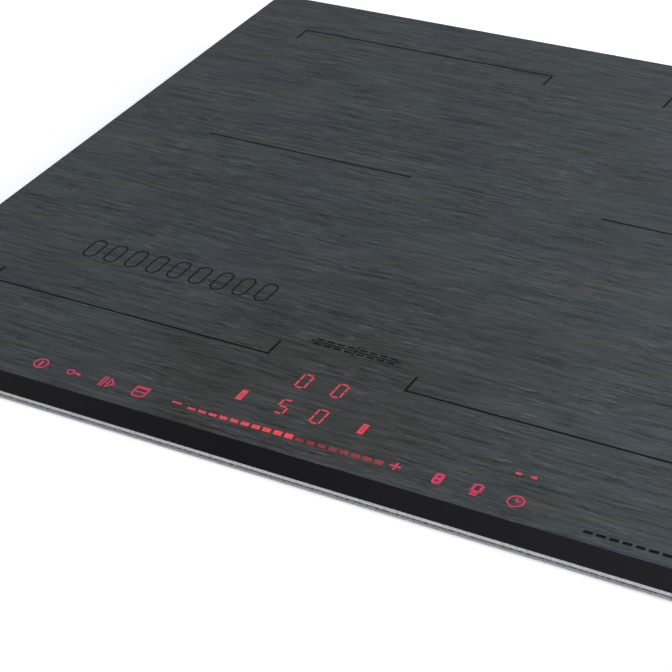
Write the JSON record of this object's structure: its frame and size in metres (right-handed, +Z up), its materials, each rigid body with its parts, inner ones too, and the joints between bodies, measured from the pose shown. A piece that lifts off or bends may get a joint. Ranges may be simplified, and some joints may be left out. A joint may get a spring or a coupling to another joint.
{
  "type": "electric induction cooktop",
  "caption": "Drop-in induction cooktop: dark streaked glass panel with a polished front facet, printed zone lines and lit touch symbols over a shallow steel base with coils, fans and terminals.",
  "frame": {"origin": "middle of the panel in plan, at the worktop's surface, where the foam seal rests", "axes": "+X to the user's right, +Y to the back, +Z up out of the worktop"},
  "size_m": [0.59, 0.52, 0.0551],
  "materials": {
    "brushed_look_glass": "dark grey glass with a streaked print and polished edges",
    "foam": "closed-cell foam",
    "silicone": "cured silicone",
    "black_enamel": "fired black enamel print",
    "lit_symbol": "symbol lit from behind",
    "dim_symbol": "symbol faintly lit from behind",
    "zinc_steel": "galvanised sheet",
    "screw_steel": "bright zinc plated",
    "sheet_aluminium": "mill finish",
    "copper_litz": "lacquered copper strands",
    "carrier_plastic": "heat-resistant moulded plastic",
    "ferrite": "sintered",
    "mineral_felt": "needled mineral fibre",
    "black_rubber": "moulded",
    "sensor_ceramic": "bisque",
    "black_plastic": "moulded",
    "black_resin": "moulded resin",
    "circuit_board": "solder mask",
    "capacitor_case": "potted case",
    "pale_nylon": "moulded",
    "grey_plastic": "moulded",
    "conductive_foam": "conductive foam",
    "display_case": "moulded light guide",
    "ribbon_grey": "flat cable"
  },
  "bodies": {
    "cooktop": {"base_pan": "zinc_steel", "board_standoffs": "pale_nylon", "cable_grommet": "black_rubber", "capacitors": "capacitor_case", "clamp_screws": "screw_steel", "coil_carrier_front_left": "carrier_plastic", "coil_carrier_front_right": "carrier_plastic", "coil_carrier_rear_left": "carrier_plastic", "coil_carrier_rear_right": "carrier_plastic", "coil_deck_left": "sheet_aluminium", "coil_deck_right": "sheet_aluminium", "coil_supports": "black_rubber", "deck_posts": "zinc_steel", "deck_screws": "screw_steel", "dim_symbols": "dim_symbol", "display_modules": "display_case", "fan_frame_left": "black_plastic", "fan_frame_right": "black_plastic", "felt_pad_front_left": "mineral_felt", "felt_pad_front_right": "mineral_felt", "felt_pad_rear_left": "mineral_felt", "felt_pad_rear_right": "mineral_felt", "ferrites_front_left": "ferrite", "ferrites_front_right": "ferrite", "ferrites_rear_left": "ferrite", "ferrites_rear_right": "ferrite", "glass_panel": "brushed_look_glass", "heat_sink_left": "sheet_aluminium", "heat_sink_right": "sheet_aluminium", "lit_symbols": "lit_symbol", "pan_sensors": "sensor_ceramic", "power_board_left": "circuit_board", "power_board_right": "circuit_board", "power_transistors": "black_resin", "rail_front": "zinc_steel", "rail_left": "zinc_steel", "rail_rear": "zinc_steel", "rail_right": "zinc_steel", "rail_screws": "screw_steel", "ribbon_cable": "ribbon_grey", "silicone_bead": "silicone", "terminal_block": "pale_nylon", "terminal_box": "grey_plastic", "touch_board": "circuit_board", "touch_pads": "conductive_foam", "touch_tray": "grey_plastic", "winding_front_left": "copper_litz", "winding_front_right": "copper_litz", "winding_rear_left": "copper_litz", "winding_rear_right": "copper_litz", "worktop_seal": "foam", "zone_markings": "black_enamel"},
    "fan_left": {"fan_rotor_left": "black_plastic"},
    "fan_right": {"fan_rotor_right": "black_plastic"},
    "terminal_cover": {"terminal_cover": "grey_plastic"},
    "clamp_front_left": {"clamp_front_left": "zinc_steel"},
    "clamp_rear_left": {"clamp_rear_left": "zinc_steel"},
    "clamp_front_right": {"clamp_front_right": "zinc_steel"},
    "clamp_rear_right": {"clamp_rear_right": "zinc_steel"}
  },
  "joints": [
    {"name": "fan_left_spin", "type": "hinge", "parent": "cooktop", "child": "fan_left", "pos_m": [-0.075, 0.165, -0.0355], "axis": [0, 0, 1], "continuous": true},
    {"name": "fan_right_spin", "type": "hinge", "parent": "cooktop", "child": "fan_right", "pos_m": [0.075, 0.165, -0.0355], "axis": [0, 0, 1], "continuous": true},
    {"name": "terminal_cover_hinge", "type": "hinge", "parent": "cooktop", "child": "terminal_cover", "pos_m": [0.219, 0.1565, -0.045], "axis": [-1, 0, 0], "range_deg": [0, 100]},
    {"name": "clamp_front_left_swivel", "type": "hinge", "parent": "cooktop", "child": "clamp_front_left", "pos_m": [-0.2745, -0.19, -0.0423], "axis": [0, 0, 1], "range_deg": [0, 90]},
    {"name": "clamp_rear_left_swivel", "type": "hinge", "parent": "cooktop", "child": "clamp_rear_left", "pos_m": [-0.2745, 0.19, -0.0423], "axis": [0, 0, -1], "range_deg": [0, 90]},
    {"name": "clamp_front_right_swivel", "type": "hinge", "parent": "cooktop", "child": "clamp_front_right", "pos_m": [0.2745, -0.19, -0.0423], "axis": [0, 0, -1], "range_deg": [0, 90]},
    {"name": "clamp_rear_right_swivel", "type": "hinge", "parent": "cooktop", "child": "clamp_rear_right", "pos_m": [0.2745, 0.19, -0.0423], "axis": [0, 0, 1], "range_deg": [0, 90]}
  ]
}
